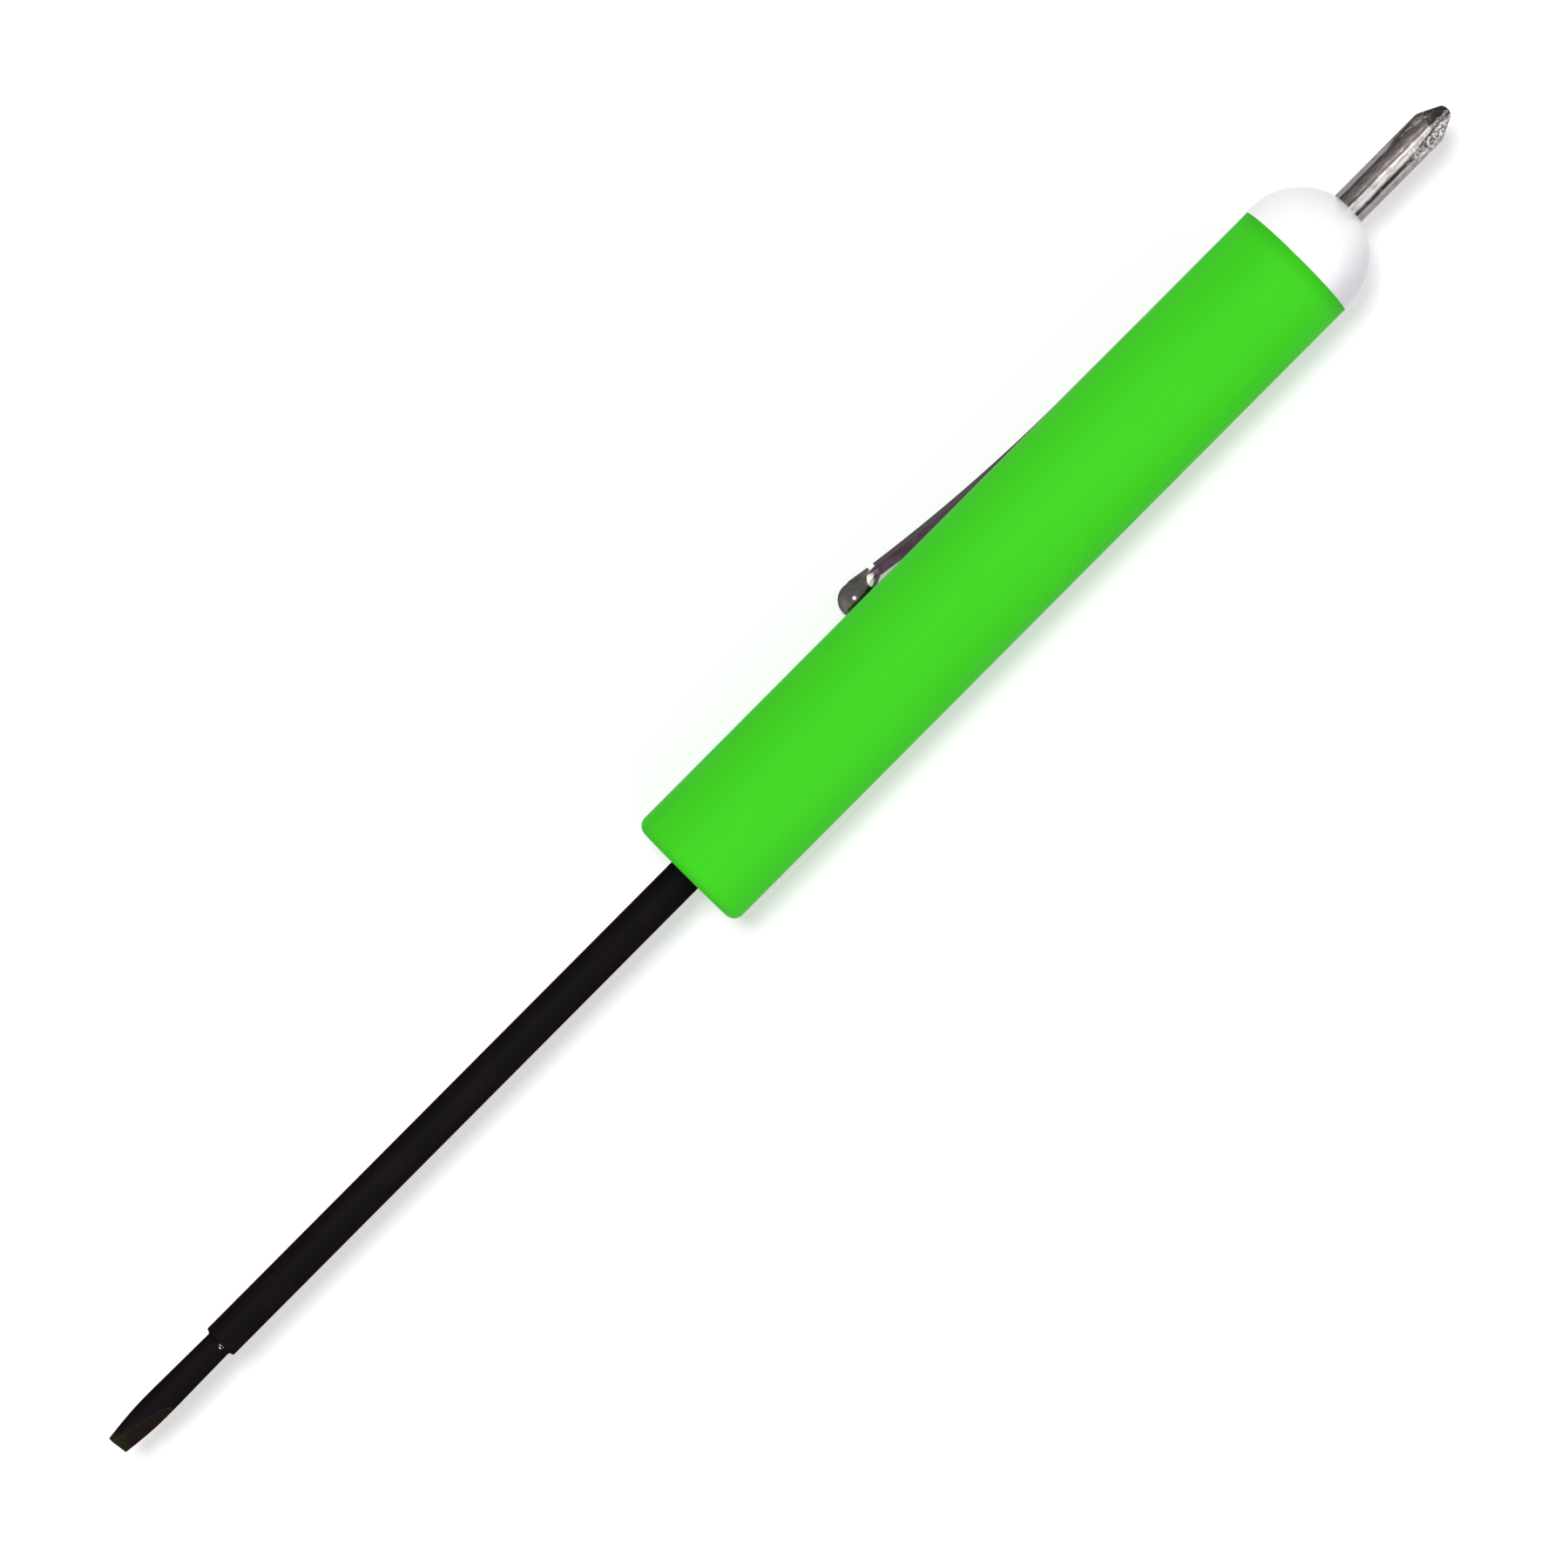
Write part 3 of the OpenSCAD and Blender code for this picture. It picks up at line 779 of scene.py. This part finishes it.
def backdrop_rays(nodes):
    """1 where the camera, gloss or glass looks at the background, and 0 where it lights the tool."""
    camera, glossy, transmission = [
        nodes.node("ShaderNodeLightPath", {}, {}, ray)
        for ray in ("Is Camera Ray", "Is Glossy Ray", "Is Transmission Ray")
    ]
    return nodes.maths("MAXIMUM", nodes.maths("MAXIMUM", camera, glossy), transmission)


def soft_sun(name, level, spread, lean):
    """A sun lamp whose light slants towards the tool's +Y side, or towards -Y with a negative lean."""
    bpy.ops.object.light_add(type="SUN", location=(0, 0, 1), rotation=(lean, 0, 0))
    sun = bpy.context.object
    sun.name = name
    sun.data.energy = level
    sun.data.angle = spread


bpy.ops.object.select_all(action="DESELECT")
bpy.ops.mesh.primitive_plane_add(size=TABLE_SPAN * MM, location=(0, 0, TABLE_Z * MM))
table = bpy.context.object
table.name = "table"
paper = Finish(
    "white_table", Roughness=0.9, Specular_IOR_Level=0, Base_Color=TABLE_PAPER,
    Emission_Strength=TABLE_GLOW,
)
paper.feed(Emission_Color=backdrop_rays(paper))
wear(table, paper)

world = bpy.data.worlds.new("studio")
bpy.context.scene.world = world
world.use_nodes = True
studio = Nodes(world.node_tree)
background = next(node for node in studio.tree.nodes if node.type == "BACKGROUND")
background.inputs["Color"].default_value = (1, 1, 1, 1)
level = WORLD_LEVEL + backdrop_rays(studio) * (1 - WORLD_LEVEL)
studio.tree.links.new(level.socket, background.inputs["Strength"])

soft_sun("soft_lamp", LAMP_LEVEL, LAMP_SPREAD, -LAMP_LEAN)
soft_sun("fill_lamp", FILL_LEVEL, FILL_SPREAD, FILL_LEAN)


# Camera: straight above the tool, as in the photograph, and turned so that the tool lies across the
# picture's diagonal with its cross-point at the upper right.
EYE_UP = 760
EYE_OVER = (10.75, -0.48)
EYE_TURN = math.radians(-45.139)
PICTURE_SPAN = 126
SENSOR = 36
EYE_NEAR = 10
EYE_FAR = 20000

bpy.ops.object.camera_add(
    location=(EYE_OVER[0] * MM, EYE_OVER[1] * MM, EYE_UP * MM), rotation=(0, 0, EYE_TURN)
)
eye = bpy.context.object
eye.data.sensor_width = SENSOR
eye.data.lens = SENSOR * EYE_UP / PICTURE_SPAN
eye.data.clip_start = EYE_NEAR * MM
eye.data.clip_end = EYE_FAR * MM
bpy.context.scene.camera = eye
bpy.context.scene.view_settings.view_transform = "Standard"
